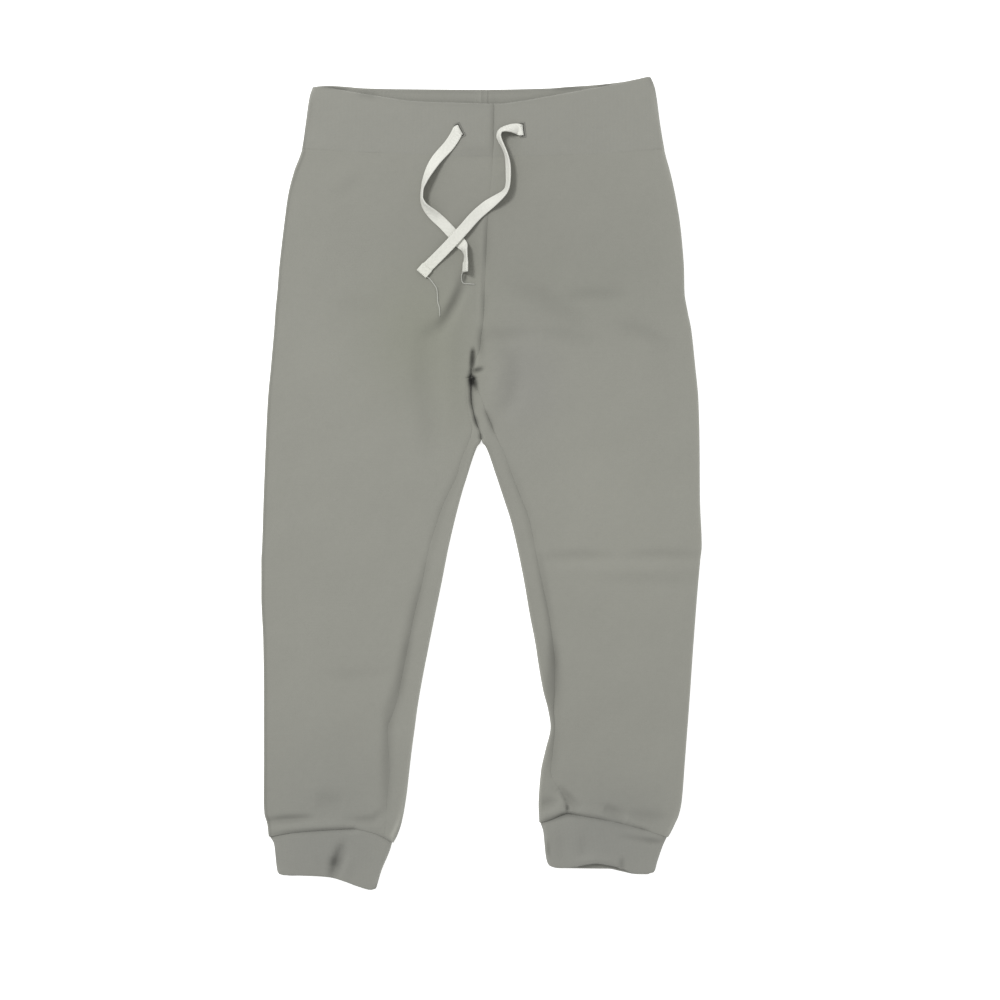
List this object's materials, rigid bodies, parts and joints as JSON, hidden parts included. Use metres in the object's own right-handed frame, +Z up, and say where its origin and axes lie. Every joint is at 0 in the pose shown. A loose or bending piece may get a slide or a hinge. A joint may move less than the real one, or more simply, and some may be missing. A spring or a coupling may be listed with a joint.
{
  "type": "jogger leggings laid flat",
  "caption": "Fleece jogger leggings laid flat: tapered legs, waistband, ankle cuffs and a flat drawstring with free ends.",
  "frame": {"origin": "centre of the garment's outline, on the surface that it lies on", "axes": "+Y towards the waist, +X towards the wearer's left, +Z up out of the front"},
  "size_m": [0.2709, 0.4999, 0.013],
  "materials": {
    "greige_fleece": "brushed sweatshirt fleece, matt",
    "greige_band": "fine rib knit folded double, matt",
    "ecru_tape": "woven cotton twill tape, matt"
  },
  "bodies": {
    "root": {"front_left": "greige_fleece", "front_right": "greige_fleece", "back_left": "greige_fleece", "back_right": "greige_fleece", "waistband_left": "greige_band", "waistband_right": "greige_band", "cuff_left": "greige_band", "cuff_right": "greige_band", "drawstring_left": "ecru_tape", "drawstring_right": "ecru_tape"}
  },
  "joints": []
}
